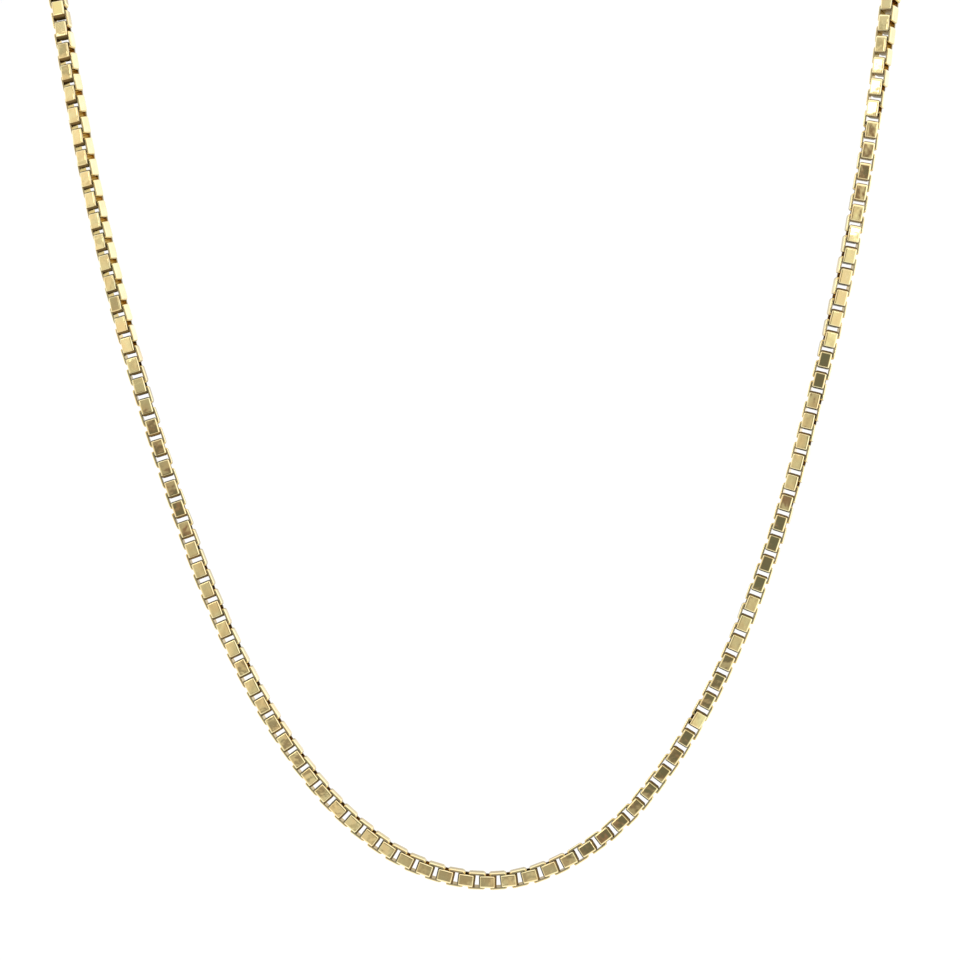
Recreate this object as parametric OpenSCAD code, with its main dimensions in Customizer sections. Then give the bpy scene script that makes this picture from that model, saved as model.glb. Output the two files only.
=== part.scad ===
// Box chain necklace of yellow gold, closed by a plain oval clasp at the nape.
// The front hangs in one plane, and the rest runs up and round the back of the neck.

/* [Link] */
// Outside size of a square link, both across the chain and along it
link_size = 2; // [1.8:0.1:2.6]
// Thickness of the flat strip that a link is bent from
strip_t = 0.28; // [0.22:0.02:0.34]
// Free space beside a strip on each side, inside the next link
side_clear = 0.17; // [0.12:0.01:0.2]
// Play along the chain between two links that are pulled apart
pull_play = 0.187; // [0.15:0.001:0.3]
// How much of each square corner is rounded away, measured along the diagonal
corner_cut = 0.19; // [0.1:0.01:0.24]

/* [Chain] */
// Length of the front stretch that is made of separate links
front_run = 294; // [240:1:300]
// Separate links at each end of the back stretch, before the clasp
end_links = 2; // [1:1:4]
// Gap between the last separate link and the plain back stretch
back_gap = 0.12; // [0.1:0.01:0.3]
// Number of flat sides round the plain back stretch
back_sides = 8; // [8:2:12]
// Distance between two sections of the plain back stretch
back_step = 5; // [4:0.5:6]

/* [Clasp] */
// Outside size of the round ring that joins the chain to the clasp
ring_d = 3.7; // [3.6:0.1:4.4]
// Wire of that ring
ring_wire = 0.5; // [0.4:0.05:0.6]
// Outside size of the small eye on the clasp
eye_d = 2.9; // [2.7:0.1:3.2]
// Wire of the eye
eye_wire = 0.6; // [0.5:0.05:0.7]
// Outside width of the clasp's long loop
loop_w = 4.2; // [4:0.1:4.8]
// Wire of the long loop
loop_wire = 1.2; // [1:0.05:1.4]
// Free space between two of these pieces where one hangs in the other
ring_clear = 0.15; // [0.1:0.01:0.2]

/* [Fall] */
// How far the front leans out from upright, as it does on a chest
lean = 20; // [0:1:30]

/* [Hidden] */
$fn = 48;
GOLD = "#d9b967";

// Middle of the chain all the way round, as [across, behind, up] in the leaning frame.
// It starts at the end link left of the clasp and ends at the one on the right.
ROUTE = [
    [-7, 48, 30], [-19, 46.5, 29.5], [-31, 41.9, 27.5], [-41.9, 33.4, 24], [-49.8, 19.6, 19],
    [-53.5, 5.5, 13], [-54, -8, 6], [-53.2, -19.5, -2], [-51.7, -28, -11],
    [-49.4, -32.8, -20.5], [-47.4, -34, -32], [-45.1, -34, -44], [-42.3, -34, -56],
    [-39, -34, -68], [-35.3, -34, -80], [-31.3, -34, -91], [-26.9, -34, -101],
    [-21.7, -34, -110], [-15.5, -34, -117.5], [-8, -34, -123], [0, -34, -125.3],
    [8, -34, -124.4], [16, -34, -119.9], [22.5, -34, -112.7], [28.4, -34, -103],
    [33.2, -34, -92], [37.3, -34, -80], [40.5, -34, -68], [43.3, -34, -56],
    [45.6, -34, -44], [47.6, -34, -32], [49.4, -32.8, -20.5],
    [51.5, -28, -11], [53.2, -19.5, -2], [54, -8, 6], [53.5, 5.5, 13], [49.5, 19.5, 19],
    [41.2, 30.5, 24], [31, 40.1, 27.5], [19, 46.5, 29.5], [7, 48, 30]
];
// First and last of those points that belong to the front stretch
FRONT_FIRST = 9;
FRONT_LAST = 31;
// Depth at which the chain has turned from facing forward to facing up
FACE_FRONT = -34;
FACE_UP = 0;

// Turn of the chain about its own length, positive where its inner side shows.
// share: part of the front stretch, from its left end; turn: degrees
TWIST = [
    [-0.1, 0], [0, 6], [0.018, 10], [0.028, 17], [0.037, 23], [0.05, 28], [0.07, 30], [0.126, 30],
    [0.148, 28], [0.162, 21], [0.172, 15], [0.182, 10], [0.192, 5], [0.205, 1], [0.22, -2],
    [0.255, -2], [0.265, 0], [0.275, 5], [0.3, 8], [0.34, 9.5], [0.5, 8], [0.525, 5], [0.545, -1],
    [0.557, -4], [0.665, -4], [0.68, -1], [0.695, -1], [0.71, -5], [0.744, -8], [0.756, -15],
    [0.787, -17], [0.8, -13], [0.81, -7], [0.82, -3], [0.83, 3], [0.84, 7], [0.868, 8],
    [0.883, 5], [0.893, 1], [0.91, -3], [0.925, -4], [0.935, -10], [0.945, -17], [0.956, -23],
    [0.97, -31], [1, -35], [1.1, 0]
];

// Samples between two route points
STEPS = 12;

// Link sizes that follow from the driving ones
hole = link_size - 2 * strip_t;
strip_w = hole - 2 * side_clear;
across = link_size * sqrt(2) - 2 * corner_cut;

// The route as a smooth curve through its points
points = len(ROUTE);
function around(i) = ROUTE[(i + points) % points];
function blend(a, b, c, d, t) =
    0.5 * (2 * b + (c - a) * t + (2 * a - 5 * b + 4 * c - d) * pow(t, 2)
        + (3 * b - 3 * c + d - a) * pow(t, 3));
curve = [
    for (i = [0 : points - 2], k = [0 : STEPS - 1])
        blend(around(i - 1), around(i), around(i + 1), around(i + 2), k / STEPS),
    ROUTE[points - 1]
];
reach = [
    for (i = 0, s = 0; i < len(curve);
        s = i + 1 < len(curve) ? s + norm(curve[i + 1] - curve[i]) : s, i = i + 1) s
];
chain_length = reach[len(reach) - 1];
axes = [for (axis = [0 : 2]) [for (i = [0 : len(curve) - 1]) [reach[i], curve[i][axis]]]];
function place(s) = [for (axis = [0 : 2]) lookup(s, axes[axis])];

// Links spread evenly over the route, an even number of steps so that both end links match
link_steps = 2 * round(chain_length / (hole - pull_play) / 2);
pitch = chain_length / link_steps;
middle = link_steps / 2;
front_each_way = floor(front_run / pitch / 2);

// Directions at a distance s along the chain: along it, towards its face and its inner side
function unit(v) = v / norm(v);
function along(s) = unit(place(min(s + pitch / 2, chain_length)) - place(max(s - pitch / 2, 0)));
function facing(s) =
    let (turn = 90 * min(max((place(s)[1] - FACE_FRONT) / (FACE_UP - FACE_FRONT), 0), 1))
    [0, -cos(turn), sin(turn)];
function inward(s) = unit(cross(facing(s), along(s)));
function outward_face(s) = cross(along(s), inward(s));
front_from = reach[FRONT_FIRST * STEPS];
front_to = reach[FRONT_LAST * STEPS];
function twist(s) = lookup((s - front_from) / (front_to - front_from), TWIST);

// Moves a child from the origin onto the chain: its X along the chain, Z towards the face
module on_chain(s, turn = 0) {
    x = along(s);
    y = inward(s);
    z = outward_face(s);
    p = place(s);
    multmatrix([
        [x[0], y[0], z[0], p[0]],
        [x[1], y[1], z[1], p[1]],
        [x[2], y[2], z[2], p[2]],
        [0, 0, 0, 1]
    ])
        rotate([turn, 0, 0])
            children();
}

// A square with its corners rounded off by one circle
module rounded_square(side, corner_to_corner) {
    intersection() {
        square(side, center = true);
        circle(d = corner_to_corner);
    }
}

// One link: a square ring of flat strip, its hole along Z
module link() {
    linear_extrude(height = strip_w, center = true)
        difference() {
            rounded_square(link_size, across);
            rounded_square(hole, across - 2 * strip_t);
        }
}

// Links number first to last: even ones show their flat strip, odd ones their hole
module links(first, last) {
    for (i = [first : last])
        on_chain(i * pitch, twist(i * pitch) + (i % 2 == 0 ? 90 : 0))
            link();
}

// Section points of the plain back stretch at a distance s
function section(s) = [
    for (k = [0 : back_sides - 1])
        let (a = 360 * (k + 0.5) / back_sides)
        place(s) + link_size / 2 * (cos(a) * inward(s) + sin(a) * outward_face(s))
];

// Plain stretch of chain as one tube that follows the route
module tube(from, to) {
    count = ceil((to - from) / back_step);
    rings = [for (i = [0 : count]) section(from + (to - from) * i / count)];
    side_faces = [
        for (i = [0 : count - 1], k = [0 : back_sides - 1])
            let (a = i * back_sides, n = (k + 1) % back_sides)
            [a + k, a + back_sides + k, a + back_sides + n, a + n]
    ];
    first_cap = [for (k = [0 : back_sides - 1]) k];
    last_cap = [for (k = [back_sides - 1 : -1 : 0]) count * back_sides + k];
    polyhedron(points = [for (ring = rings) each ring], faces = concat(side_faces, [first_cap, last_cap]));
}

// Where the plain stretches start and stop, next to the separate links
back_from = (end_links - 1) * pitch + link_size / 2 + back_gap;
back_to = (middle - front_each_way) * pitch - link_size / 2 - back_gap;

module leaning() {
    rotate([-lean, 0, 0])
        children();
}

module chain_front() {
    color(GOLD)
        leaning()
            links(middle - front_each_way, middle + front_each_way);
}

module chain_back() {
    color(GOLD)
        leaning() {
            links(0, end_links - 1);
            tube(back_from, back_to);
            tube(chain_length - back_to, chain_length - back_from);
            links(link_steps - end_links + 1, link_steps);
        }
}

// Places on the clasp's own line, from the middle of the gap between the two end links
clasp_half = abs(ROUTE[0][0]);
nape = [0, ROUTE[0][1], ROUTE[0][2]];
ring_r = (ring_d - ring_wire) / 2;
eye_r = (eye_d - eye_wire) / 2;
loop_r = (loop_w - loop_wire) / 2;
// The ring's wire passes beside the end strip of the last link but one
ring_seat = ring_clear + ring_wire / 2 - (pitch - link_size / 2);
ring_x = clasp_half - ring_seat - ring_r;
eye_near = -(ring_x - ring_r) - ring_wire / 2 - eye_wire / 2 - ring_clear;
eye_x = eye_near + eye_r;
loop_near = eye_x + eye_r + loop_wire / 2 - eye_wire / 3;
loop_far = ring_x - ring_r + ring_wire / 2 + loop_wire / 2 + ring_clear;
// The loop's straight bars are slimmer than its ends and reach this far into them
bar_step = 0.1;
bar_sink = 0.2;

module round_ring(r, wire) {
    rotate_extrude()
        translate([r, 0])
            circle(d = wire);
}

module end_ring(x) {
    color(GOLD)
        leaning()
            translate(nape + [x, 0, 0])
                round_ring(ring_r, ring_wire);
}

module end_ring_left() {
    end_ring(-ring_x);
}

module end_ring_right() {
    end_ring(ring_x);
}

// Round end of the long loop, open towards +X
module loop_end() {
    rotate(90)
        rotate_extrude(angle = 180)
            translate([loop_r, 0])
                circle(d = loop_wire);
}

// Long loop with round ends and two slightly slimmer straight bars set into them
module long_loop(from, to) {
    translate([from + loop_r, 0, 0])
        loop_end();
    translate([to - loop_r, 0, 0])
        mirror([1, 0, 0])
            loop_end();
    for (side = [-1, 1])
        translate([from + loop_r - bar_sink, side * loop_r, 0])
            rotate([0, 90, 0])
                cylinder(d = loop_wire - bar_step, h = to - from - 2 * loop_r + 2 * bar_sink);
}

module clasp() {
    color(GOLD)
        leaning()
            translate(nape)
                rotate([90, 0, 0]) {
                    translate([eye_x, 0, 0])
                        round_ring(eye_r, eye_wire);
                    long_loop(loop_near, loop_far);
                }
}

chain_front();
chain_back();
end_ring_left();
end_ring_right();
clasp();
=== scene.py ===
"""Looks of a gold box chain necklace: every link, the rings, the clasp, a camera and a white studio."""
import math
import random

import bpy
import numpy as np
from mathutils import Matrix, Vector

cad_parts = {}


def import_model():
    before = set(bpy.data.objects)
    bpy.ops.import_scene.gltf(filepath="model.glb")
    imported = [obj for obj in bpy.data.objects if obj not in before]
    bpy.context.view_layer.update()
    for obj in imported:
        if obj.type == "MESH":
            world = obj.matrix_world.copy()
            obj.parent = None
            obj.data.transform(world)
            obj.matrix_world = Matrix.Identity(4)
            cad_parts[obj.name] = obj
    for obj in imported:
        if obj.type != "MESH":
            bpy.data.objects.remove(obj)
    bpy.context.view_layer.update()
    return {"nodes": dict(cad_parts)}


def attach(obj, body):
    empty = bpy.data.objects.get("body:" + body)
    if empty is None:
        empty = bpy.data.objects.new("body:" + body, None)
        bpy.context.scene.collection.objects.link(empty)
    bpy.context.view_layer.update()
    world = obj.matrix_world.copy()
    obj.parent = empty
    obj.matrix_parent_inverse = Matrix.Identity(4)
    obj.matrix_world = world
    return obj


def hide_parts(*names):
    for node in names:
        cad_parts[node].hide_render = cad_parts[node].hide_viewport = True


MM = 0.001
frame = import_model()

# Middle of the chain all the way round, as (across, behind, up) in the leaning frame, in metres
ROUTE = [
    (-0.007, 0.048, 0.030), (-0.019, 0.0465, 0.0295), (-0.031, 0.0419, 0.0275),
    (-0.0419, 0.0334, 0.024), (-0.0498, 0.0196, 0.019), (-0.0535, 0.0055, 0.013),
    (-0.054, -0.008, 0.006), (-0.0532, -0.0195, -0.002), (-0.0517, -0.028, -0.011),
    (-0.0494, -0.0328, -0.0205), (-0.0474, -0.034, -0.032), (-0.0451, -0.034, -0.044),
    (-0.0423, -0.034, -0.056), (-0.039, -0.034, -0.068), (-0.0353, -0.034, -0.080),
    (-0.0313, -0.034, -0.091), (-0.0269, -0.034, -0.101), (-0.0217, -0.034, -0.110),
    (-0.0155, -0.034, -0.1175), (-0.008, -0.034, -0.123), (0, -0.034, -0.1253),
    (0.008, -0.034, -0.1244), (0.016, -0.034, -0.1199), (0.0225, -0.034, -0.1127),
    (0.0284, -0.034, -0.103), (0.0332, -0.034, -0.092), (0.0373, -0.034, -0.080),
    (0.0405, -0.034, -0.068), (0.0433, -0.034, -0.056), (0.0456, -0.034, -0.044),
    (0.0476, -0.034, -0.032), (0.0494, -0.0328, -0.0205), (0.0515, -0.028, -0.011),
    (0.0532, -0.0195, -0.002), (0.054, -0.008, 0.006), (0.0535, 0.0055, 0.013),
    (0.0495, 0.0195, 0.019), (0.0412, 0.0305, 0.024), (0.031, 0.0401, 0.0275),
    (0.019, 0.0465, 0.0295), (0.007, 0.048, 0.030),
]
# First and last of those points that belong to the front stretch
FRONT_FIRST = 9
FRONT_LAST = 31
# Depth at which the chain has turned from facing forward to facing up
FACE_FRONT = -34 * MM
FACE_UP = 0.0
# Samples between two route points
STEPS = 12
# Turn of the chain about its own length: share of the front stretch, degrees
TWIST = [
    (-0.1, 0), (0, 6), (0.018, 10), (0.028, 17), (0.037, 23), (0.05, 28), (0.07, 30), (0.126, 30),
    (0.148, 28), (0.162, 21), (0.172, 15), (0.182, 10), (0.192, 5), (0.205, 1), (0.22, -2),
    (0.255, -2), (0.265, 0), (0.275, 5), (0.3, 8), (0.34, 9.5), (0.5, 8), (0.525, 5), (0.545, -1),
    (0.557, -4), (0.665, -4), (0.68, -1), (0.695, -1), (0.71, -5), (0.744, -8), (0.756, -15),
    (0.787, -17), (0.8, -13), (0.81, -7), (0.82, -3), (0.83, 3), (0.84, 7), (0.868, 8),
    (0.883, 5), (0.893, 1), (0.91, -3), (0.925, -4), (0.935, -10), (0.945, -17), (0.956, -23),
    (0.97, -31), (1, -35), (1.1, 0),
]
# How far the front leans out from upright, in degrees
LEAN = 20

# Link: size across and along the chain, strip thickness and width
LINK_SIZE = 2.04 * MM
LINK_LENGTH = 2.08 * MM
STRIP_T = 0.31 * MM
STRIP_W = 1.38 * MM
LINK_STEPS = 394
FRONT_EACH_WAY = 117
# Radius of the bends outside, at a link's near and far end, and inside
BEND_R = (0.24 * MM, 0.4 * MM)
INNER_BEND_R = (0.04 * MM, 0.04 * MM)
# Half the angle that each side bows through
SIDE_BOW = math.radians(1.2)
# How far the far end bulges in its middle, more than at its edges, and where the bulge starts
END_BULGE = 0.06 * MM
BULGE_REACH = 2 * STRIP_T
BEND_SEGMENTS = 8
# Rounded edges of the strip: how wide and how deep, on the outer and on the inner face
OUTER_EDGE = (0.2 * MM, 0.14 * MM)
INNER_EDGE = (0.03 * MM, 0.03 * MM)
OUTER_EDGE_SEGMENTS = 4
INNER_EDGE_SEGMENTS = 2
# How far the sides of a link tip, for even and odd numbers, and the most that it strays, in degrees
LINK_LEAN = (5.5, 1.5)
STRAY_TILT = 1.4
STRAY_ROLL = 1.0
SEED = 11
# Links whose stray is set one by one: number of the link, tilt and roll in degrees
ODD_LINKS = {
    130: (0, 0), 166: (-2.7, -1.1), 210: (0, -3.5), 224: (1, 10), 232: (0, 2), 234: (0, 1.5),
    236: (0, 1.5), 248: (0, -1.5), 250: (0, -1), 272: (-2, 0), 274: (0, -2), 280: (1.5, 2.4),
    282: (0, 6.8), 284: (-2.2, -6), 286: (-0.7, 0),
}
# First even link whose ends take the cut-edge and the polished finish, in place of the dull end and the
# painted dark shade at the far end that the even links before it have
LATE_ENDS_FROM = 271
# How far the links have slid along the chain and inwards: number of the link, both in mm
SLID = [
    (84, 0, 0), (104, -0.4, 0.26), (116, -0.15, 0.26), (128, -0.12, 0.2), (138, -0.15, 0.04),
    (150, -0.02, 0.1), (158, 0, 0.02), (174, 0.05, 0.24), (186, 0.1, 0.06), (198, -0.04, -0.22),
    (211, -0.2, 0), (230, -0.03, 0.02), (250, -0.1, 0.03), (262, -0.25, 0), (272, -0.15, -0.1),
    (284, -0.28, -0.08), (304, 0, 0),
]


# Route
leaning = Matrix.Rotation(math.radians(-LEAN), 3, "X")
leaning_np = np.array(leaning)


def blend(a, b, c, d, t):
    """Point between b and c on a smooth curve through all four."""
    return 0.5 * (2 * b + (c - a) * t + (2 * a - 5 * b + 4 * c - d) * t**2
                  + (3 * b - 3 * c + d - a) * t**3)


def smooth_route():
    """Samples along the route and the distance from its start to each."""
    points = [np.array(p, float) for p in ROUTE]
    count = len(points)
    samples = []
    for i in range(count - 1):
        four = [points[(i + k) % count] for k in (-1, 0, 1, 2)]
        samples += [blend(*four, step / STEPS) for step in range(STEPS)]
    samples.append(points[-1])
    samples = np.array(samples)
    steps = np.linalg.norm(np.diff(samples, axis=0), axis=1)
    return samples, np.concatenate([[0], np.cumsum(steps)])


samples, reach = smooth_route()
chain_length = reach[-1]
pitch = chain_length / LINK_STEPS
middle = LINK_STEPS // 2
front_from = reach[FRONT_FIRST * STEPS]
front_to = reach[FRONT_LAST * STEPS]


def unit(v):
    return v / np.linalg.norm(v)


def place(s):
    return np.array([np.interp(s, reach, samples[:, axis]) for axis in range(3)])


def directions(s):
    """Along the chain, towards its inner side and towards its face, at a distance s."""
    along = unit(place(min(s + pitch / 2, chain_length)) - place(max(s - pitch / 2, 0)))
    share = min(max((place(s)[1] - FACE_FRONT) / (FACE_UP - FACE_FRONT), 0), 1)
    turn = math.radians(90) * share
    facing = np.array([0, -math.cos(turn), math.sin(turn)])
    inward = unit(np.cross(facing, along))
    return along, inward, np.cross(along, inward)


def twist(s):
    shares, turns = zip(*TWIST)
    return math.radians(np.interp((s - front_from) / (front_to - front_from), shares, turns))


# One link

# Finish of its faces: polished, inside, cut edges of the strip, plain end and darkest end. All but the
# polished faces are darker copies of the gold: painted shade inside the links, on the strip's edges and
# at the ends, where they sit between the links
POLISHED, INSIDE, CUT, PLAIN_END, DARK_SHADED_END = range(5)
# Kinds of links: even numbers before the ends change their finish and after it, and odd numbers
EARLY, LATE, ODD = range(3)
# Finish of the near and the far end of each kind, and how far round the bends they reach:
# twice the sine of the angle there
END_FINISHES = ((PLAIN_END, DARK_SHADED_END, 0.8), (CUT, POLISHED, 0.8), (INSIDE, INSIDE, 1.25))
# Faces that point inwards by more than the first, or outwards by less than the second, are
# the inside and the cut edges: twice the cosine of the angle to the outward direction
INSIDE_BELOW = -1.9
CUT_BELOW = 0.2


def rounded_ring(half_along, half_across, bends):
    """Points and outward normals round a rectangle with bends at its near and far end."""
    points, normals = [], []
    for quarter, (x, y) in enumerate(((1, 1), (-1, 1), (-1, -1), (1, -1))):
        bend = bends[x > 0]
        centre = np.array([x * (half_along - bend), y * (half_across - bend)])
        for k in range(BEND_SEGMENTS + 1):
            a = SIDE_BOW + (math.pi / 2 - 2 * SIDE_BOW) * k / BEND_SEGMENTS + quarter * math.pi / 2
            normal = np.array([math.cos(a), math.sin(a)])
            points.append(centre + bend * normal)
            normals.append(normal)
    return np.array(points), np.array(normals)


def strip_section():
    """Points round the strip's section as (outward, sideways) with their normals."""
    rows = []
    for outward, (wide, deep), count in (
        (1, OUTER_EDGE, OUTER_EDGE_SEGMENTS), (-1, INNER_EDGE, INNER_EDGE_SEGMENTS),
    ):
        corner = []
        for k in range(count + 1):
            a = math.pi / 2 * k / count
            point = (STRIP_T / 2 - deep + deep * math.cos(a), STRIP_W / 2 - wide + wide * math.sin(a))
            normal = unit(np.array([math.cos(a) / deep, math.sin(a) / wide]))
            corner.append((outward * point[0], point[1], outward * normal[0], normal[1]))
        rows += corner if outward > 0 else corner[::-1]
    mirrored = [(p, -q, n, -m) for p, q, n, m in rows[::-1]]
    return rows + mirrored


def link_mesh():
    """Points, normals and faces of one link, with its hole along Z, and the finishes of its kinds."""
    halves = (LINK_LENGTH / 2, LINK_SIZE / 2)
    outer, outs = rounded_ring(*halves, BEND_R)
    inner, _ = rounded_ring(*[half - STRIP_T for half in halves], INNER_BEND_R)
    section = strip_section()
    points = np.array([
        (*(b + (a - b) * (p / STRIP_T + 0.5)), q)
        for a, b in zip(outer, inner) for p, q, n, m in section
    ])
    far = np.clip((points[:, 0] - halves[0] + BULGE_REACH) / STRIP_T, 0, 1)
    points[:, 0] += END_BULGE * far * (0.5 - (points[:, 2] / (STRIP_W / 2))**2)
    normals = [(*(o * n), m) for o in outs for p, q, n, m in section]
    rings, sides = len(outer), len(section)
    faces = [
        (i * sides + k, (i + 1) % rings * sides + k,
         (i + 1) % rings * sides + (k + 1) % sides, i * sides + (k + 1) % sides)
        for i in range(rings) for k in range(sides)
    ]
    outward = [section[k][2] + section[(k + 1) % sides][2] for k in range(sides)]
    endward = [outs[i][0] + outs[(i + 1) % rings][0] for i in range(rings)]
    finishes = [
        np.array([
            INSIDE if outward[k] < INSIDE_BELOW
            else CUT if outward[k] < CUT_BELOW
            else near if endward[i] < -reach
            else far if endward[i] > reach
            else POLISHED
            for i in range(rings) for k in range(sides)
        ])
        for near, far, reach in END_FINISHES
    ]
    return points, np.array(normals), np.array(faces), finishes


def kind(number):
    if number % 2:
        return ODD
    return LATE if number >= LATE_ENDS_FROM else EARLY


def turned(axis, degrees):
    return np.array(Matrix.Rotation(math.radians(degrees), 3, axis))


def tipped(degrees):
    """Tips the sides of a link, while its ends stay square to the chain."""
    matrix = np.eye(3)
    matrix[1, 0] = math.tan(math.radians(degrees))
    return matrix


def mesh_object(name, points, normals, faces, materials, material_numbers):
    """A smooth-shaded mesh whose normals are the given ones."""
    mesh = bpy.data.meshes.new(name)
    mesh.from_pydata(points.tolist(), [], faces.tolist())
    mesh.polygons.foreach_set("use_smooth", [True] * len(mesh.polygons))
    mesh.normals_split_custom_set_from_vertices(normals.tolist())
    for material in materials:
        mesh.materials.append(material)
    mesh.polygons.foreach_set("material_index", material_numbers.tolist())
    piece = bpy.data.objects.new(name, mesh)
    bpy.context.scene.collection.objects.link(piece)
    return piece


link_points, link_normals, link_faces, link_finishes = link_mesh()
stray = random.Random(SEED)
strays = [
    (stray.uniform(-STRAY_TILT, STRAY_TILT), stray.uniform(-STRAY_ROLL, STRAY_ROLL))
    for _ in range(LINK_STEPS + 1)
]
for number, stray_set in ODD_LINKS.items():
    strays[number] = stray_set
slid_numbers, slides_along, slides_inward = zip(*SLID)


def chain_piece(name, first, last, materials):
    """Links number first to last as one mesh."""
    points, normals, faces = [], [], []
    for i in range(first, last + 1):
        s = i * pitch
        along, inward, face = directions(s)
        tilt, roll = strays[i]
        slid_along = np.interp(i, slid_numbers, slides_along) * MM
        slid_inward = np.interp(i, slid_numbers, slides_inward) * MM
        quarter = 90 if i % 2 == 0 else 0
        basis = leaning_np @ np.column_stack([along, inward, face])
        basis = basis @ turned("X", math.degrees(twist(s)) + quarter + roll)
        basis = basis @ tipped(LINK_LEAN[i % 2] + tilt)
        faces.append(link_faces + len(points) * len(link_points))
        centre = place(s) + along * slid_along + inward * slid_inward
        points.append(link_points @ basis.T + leaning_np @ centre)
        turned_normals = link_normals @ np.linalg.inv(basis)
        normals.append(turned_normals / np.linalg.norm(turned_normals, axis=1)[:, None])
    finish = np.concatenate([link_finishes[kind(i)] for i in range(first, last + 1)])
    return mesh_object(
        name, np.concatenate(points), np.concatenate(normals), np.concatenate(faces), materials, finish
    )


# Materials

# Patches of tint, wear and ripple: how many to a metre and how much detail
TINT_NOISE = (700, 2)
WEAR_NOISE = (1800, 3)
RIPPLE_NOISE = (900, 1.5)
# Where the tint turns from the darker to the lighter gold
TINT_FROM = 0.35
TINT_TO = 0.65
# Height of the ripple and how much of it is used
RIPPLE_HEIGHT = 0.05 * MM
RIPPLE_STRENGTH = 0.8


def new_material(name):
    material = bpy.data.materials.new(name)
    material.use_nodes = True
    nodes = material.node_tree.nodes
    return material, nodes, material.node_tree.links, nodes["Principled BSDF"]


def gold(name, darker=(0.96, 0.73, 0.36), lighter=(0.91, 0.78, 0.41), smooth=0.05, rough=0.13, metal=1):
    """Yellow gold with a faint change of tint, fine wear and a soft ripple."""
    material, nodes, links, shader = new_material(name)
    shader.inputs["Metallic"].default_value = metal
    shader.inputs["Specular IOR Level"].default_value = 0
    where = nodes.new("ShaderNodeTexCoord")

    def noise(scale, detail):
        texture = nodes.new("ShaderNodeTexNoise")
        texture.inputs["Scale"].default_value = scale
        texture.inputs["Detail"].default_value = detail
        links.new(where.outputs["Object"], texture.inputs["Vector"])
        return texture.outputs["Fac"]

    colours = nodes.new("ShaderNodeValToRGB")
    for element, position, colour in zip(
        colours.color_ramp.elements, (TINT_FROM, TINT_TO), (darker, lighter),
    ):
        element.position = position
        element.color = (*colour, 1)
    links.new(noise(*TINT_NOISE), colours.inputs["Fac"])
    links.new(colours.outputs["Color"], shader.inputs["Base Color"])
    polish = nodes.new("ShaderNodeMapRange")
    polish.inputs["To Min"].default_value = smooth
    polish.inputs["To Max"].default_value = rough
    links.new(noise(*WEAR_NOISE), polish.inputs["Value"])
    links.new(polish.outputs["Result"], shader.inputs["Roughness"])
    bump = nodes.new("ShaderNodeBump")
    bump.inputs["Strength"].default_value = RIPPLE_STRENGTH
    bump.inputs["Distance"].default_value = RIPPLE_HEIGHT
    links.new(noise(*RIPPLE_NOISE), bump.inputs["Height"])
    links.new(bump.outputs["Normal"], shader.inputs["Normal"])
    return material


chain_gold = gold("chain_gold")
# Darker copies of the gold as painted shade, each also with its own polish: less polished inside,
# rougher where the strip was cut, dull at a plain end, and darkest, dull and not metal at the far end
# of the early even links
inside_shade_gold = gold("inside_shade_gold", (0.66, 0.45, 0.13), (0.6, 0.44, 0.16), 0.1, 0.25)
cut_edge_shade_gold = gold("cut_edge_shade_gold", (0.42, 0.32, 0.17), (0.36, 0.31, 0.17), 0.4, 0.5)
end_shade_gold = gold("end_shade_gold", (0.42, 0.36, 0.2), (0.4, 0.36, 0.21), 0.3, 0.4)
far_end_shade_gold = gold("far_end_shade_gold", (0.2, 0.12, 0.04), (0.13, 0.09, 0.035), 0.8, 1, 0)
# A little deeper in colour
fittings_gold = gold("fittings_gold", (0.84, 0.6, 0.26), (0.8, 0.62, 0.3), 0.1, 0.2)

# Chain, in four pieces that follow each other round
first_front = middle - FRONT_EACH_WAY
last_front = middle + FRONT_EACH_WAY
for name, first, last, node in (
    ("chain_back_left", 0, first_front - 1, "chain_back"),
    ("chain_front_left", first_front, middle, "chain_front"),
    ("chain_front_right", middle + 1, last_front, "chain_front"),
    ("chain_back_right", last_front + 1, LINK_STEPS, "chain_back"),
):
    stretch = chain_piece(name, first, last, (chain_gold, inside_shade_gold, cut_edge_shade_gold, end_shade_gold, far_end_shade_gold))
    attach(stretch, "root")
    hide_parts(node)

# Rings and clasp keep their shape
for name in ("end_ring_left", "end_ring_right", "clasp"):
    fitting = frame["nodes"][name]
    fitting.data.materials.clear()
    fitting.data.materials.append(fittings_gold)
    for polygon in fitting.data.polygons:
        polygon.use_smooth = True

# Camera, square to the leaning front: the point that it aims at in the leaning frame, in mm,
# its distance from there and how wide the picture is there
AIM = (0.8235, -34, -78.47)
VIEW_DISTANCE = 450 * MM
VIEW_WIDTH = 112.94 * MM
SENSOR = 36.0
aim = leaning @ Vector(AIM) * MM
towards = leaning @ Vector((0, -1, 0))
camera_data = bpy.data.cameras.new("camera")
camera_data.sensor_width = SENSOR
camera_data.lens = SENSOR * VIEW_DISTANCE / VIEW_WIDTH
camera_data.clip_start = 10 * MM
camera = bpy.data.objects.new("camera", camera_data)
camera.location = aim + towards * VIEW_DISTANCE
camera.rotation_euler = (math.radians(90 - LEAN), 0, 0)
bpy.context.scene.collection.objects.link(camera)
bpy.context.scene.camera = camera

# Studio

# How far the floor lies below the origin, half its width and how much it glows
FLOOR_DROP = 320 * MM
FLOOR_HALF = 5.0
FLOOR_GLOW = 0.12
TENT_R = 480 * MM
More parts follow.
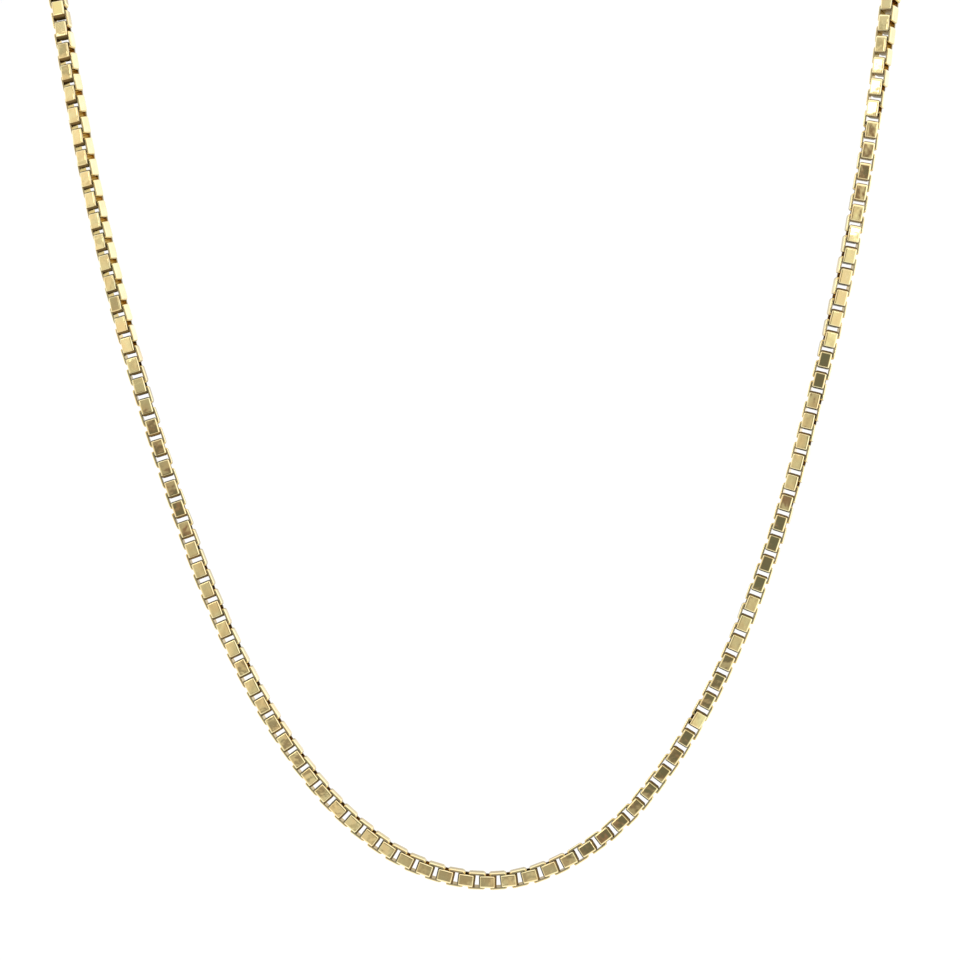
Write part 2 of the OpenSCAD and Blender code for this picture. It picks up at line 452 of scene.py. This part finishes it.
# Light round the tent: angle from the front, positive to the right, and brightness by colour,
# which is never above AROUND_TOP
AROUND_TOP = 1.8
SOFT_BOX = (1.5, 1.58, 1.8)
SIDE = (1.15, 1.27, 1.55)
AROUND = [
    (-180, (0.6, 0.6, 0.6)), (-166, (0.8, 0.8, 0.8)), (-152, SOFT_BOX), (-132, SIDE), (-98, SIDE),
    (-84, (1.2, 1.23, 1.35)), (-70, (0.98, 0.97, 0.93)), (-62, (0.77, 0.74, 0.66)),
    (-50, (0.9, 0.88, 0.83)), (-36, (0.97, 0.95, 0.91)), (-28, (0.68, 0.66, 0.6)),
    (-22, (0.54, 0.53, 0.48)), (-10, (0.44, 0.43, 0.4)), (-4, (0.43, 0.42, 0.39)),
    (1, (0.6, 0.59, 0.55)), (7, (0.64, 0.64, 0.59)), (14, (0.98, 1.05, 0.96)),
    (26, (0.86, 0.85, 0.82)), (38, SOFT_BOX), (90, SOFT_BOX), (100, SIDE), (132, SIDE),
    (152, SOFT_BOX), (166, (0.8, 0.8, 0.8)), (180, (0.6, 0.6, 0.6)),
]
# Cards in it: middle and half size as angles across and up, softness of the rim, brightness.
# The last ones are the dark opening for the camera with a warm rim.
CARDS = [
    ((-50, 34), (24, 14), 0.2, (0.73, 0.73, 0.71)),
    ((-60, 18.5), (6.5, 3.5), 0.3, (0.5, 0.5, 0.46)),
    ((-37, 16.5), (13, 5), 0.2, (3.6, 3.6, 3.5)),
    ((-37, 33), (6, 6), 0.25, (0.95, 1.02, 0.9)),
    ((-57.5, 4), (4.5, 4), 0.3, (0.45, 0.44, 0.4)),
    ((-68.5, 4.6), (3.5, 1.6), 0.3, (0.7, 0.68, 0.62)),
    ((-26.2, -9.4), (5, 1.9), 0.3, (0.3, 0.28, 0.26)),
    ((-23.8, -14.6), (5, 2.9), 0.2, (0.74, 0.73, 0.7)),
    ((-14.5, -25), (6, 3.5), 0.3, (0.38, 0.36, 0.33)),
    ((-7.2, -24.6), (3.2, 3), 0.25, (0.62, 0.6, 0.56)),
    ((20, 3), (4, 4), 0.3, (4.0, 4.0, 4.4)),
    ((-6, -1), (13, 14), 0.12, (0.27, 0.2, 0.18)),
    ((-5, -1), (9, 13), 0.15, (0.16, 0.17, 0.155)),
]
# Brightness above and below, and the angles from the level between which it comes in
ABOVE = (1.3, 1.36, 1.5)
BELOW = (1.2, 1.26, 1.4)
STEEP_FROM = (24, 36)


def floor_material():
    material, nodes, links, shader = new_material("floor_white")
    shader.inputs["Base Color"].default_value = (0.9, 0.9, 0.9, 1)
    shader.inputs["Roughness"].default_value = 0.9
    shader.inputs["Emission Color"].default_value = (1, 1, 1, 1)
    shader.inputs["Emission Strength"].default_value = FLOOR_GLOW
    return material


def floor():
    mesh = bpy.data.meshes.new("floor")
    corners = [
        (x * FLOOR_HALF, y * FLOOR_HALF, -FLOOR_DROP)
        for x, y in ((-1, -1), (1, -1), (1, 1), (-1, 1))
    ]
    mesh.from_pydata(corners, [], [(0, 1, 2, 3)])
    mesh.materials.append(floor_material())
    plane = bpy.data.objects.new("floor", mesh)
    plane.visible_glossy = False
    bpy.context.scene.collection.objects.link(plane)


def tent_material():
    """Light that the gold reflects: cards and panels all round, by their angle from the front."""
    material = bpy.data.materials.new("tent_light")
    material.use_nodes = True
    nodes, links = material.node_tree.nodes, material.node_tree.links
    nodes.clear()

    def maths(operation, first, second=None):
        node = nodes.new("ShaderNodeMath")
        node.operation = operation
        for socket, value in zip(node.inputs, (first, second)):
            if isinstance(value, (int, float)):
                socket.default_value = value
            elif value is not None:
                links.new(value, socket)
        return node.outputs["Value"]

    def soft_step(value, low, high):
        step = nodes.new("ShaderNodeMapRange")
        step.interpolation_type = "SMOOTHSTEP"
        step.inputs["From Min"].default_value = low
        step.inputs["From Max"].default_value = high
        links.new(value, step.inputs["Value"])
        return step.outputs["Result"]

    def mixed(factor, first, second):
        mix = nodes.new("ShaderNodeMix")
        mix.data_type = "RGBA"
        links.new(factor, mix.inputs["Factor"])
        for name, value in (("A", first), ("B", second)):
            if isinstance(value, tuple):
                mix.inputs[name].default_value = (*value, 1)
            else:
                links.new(value, mix.inputs[name])
        return mix.outputs["Result"]

    where = nodes.new("ShaderNodeTexCoord")
    facing = nodes.new("ShaderNodeVectorMath")
    facing.operation = "NORMALIZE"
    links.new(where.outputs["Object"], facing.inputs[0])
    parts = nodes.new("ShaderNodeSeparateXYZ")
    links.new(facing.outputs["Vector"], parts.inputs["Vector"])
    front = maths("MULTIPLY", parts.outputs["Y"], -1)
    across = maths("DEGREES", maths("ARCTAN2", parts.outputs["X"], front))
    height = maths("DEGREES", maths("ARCSINE", parts.outputs["Z"]))

    around = nodes.new("ShaderNodeValToRGB")
    for angle, colour in AROUND[1:-1]:
        element = around.color_ramp.elements.new(angle / 360 + 0.5)
        element.color = (*[v / AROUND_TOP for v in colour], 1)
    for element, (angle, colour) in ((0, AROUND[0]), (-1, AROUND[-1])):
        around.color_ramp.elements[element].color = (*[v / AROUND_TOP for v in colour], 1)
    links.new(maths("ADD", maths("DIVIDE", across, 360), 0.5), around.inputs["Fac"])
    scaled = nodes.new("ShaderNodeVectorMath")
    scaled.operation = "SCALE"
    scaled.inputs["Scale"].default_value = AROUND_TOP
    links.new(around.outputs["Color"], scaled.inputs[0])
    light = mixed(soft_step(height, *STEEP_FROM), scaled.outputs["Vector"], ABOVE)
    light = mixed(soft_step(maths("MULTIPLY", height, -1), *STEEP_FROM), light, BELOW)
    for (middle_across, middle_height), (half_across, half_height), soft, colour in CARDS:
        x = maths("DIVIDE", maths("SUBTRACT", across, middle_across), half_across)
        y = maths("DIVIDE", maths("SUBTRACT", height, middle_height), half_height)
        away = maths("SQRT", maths("ADD", maths("MULTIPLY", x, x), maths("MULTIPLY", y, y)))
        light = mixed(soft_step(away, 1 - soft, 1 + soft), colour, light)
    glow = nodes.new("ShaderNodeEmission")
    glow.inputs["Strength"].default_value = 1.0
    links.new(light, glow.inputs["Color"])
    out = nodes.new("ShaderNodeOutputMaterial")
    links.new(glow.outputs["Emission"], out.inputs["Surface"])
    return material


def tent():
    """A round tent about the chain, which only the gold's reflections see."""
    bpy.ops.mesh.primitive_uv_sphere_add(segments=64, ring_count=32, radius=TENT_R, location=aim)
    dome = bpy.context.active_object
    dome.name = "light_tent"
    dome.rotation_euler = (math.radians(-LEAN), 0, 0)
    dome.data.materials.append(tent_material())
    dome.visible_camera = False
    dome.visible_diffuse = False
    dome.visible_transmission = False
    dome.visible_shadow = False


def world():
    light = bpy.data.worlds.new("studio")
    light.use_nodes = True
    background = light.node_tree.nodes["Background"]
    background.inputs["Color"].default_value = (1, 1, 1, 1)
    background.inputs["Strength"].default_value = 1.0
    bpy.context.scene.world = light


floor()
tent()
world()
bpy.context.scene.view_settings.view_transform = "Standard"
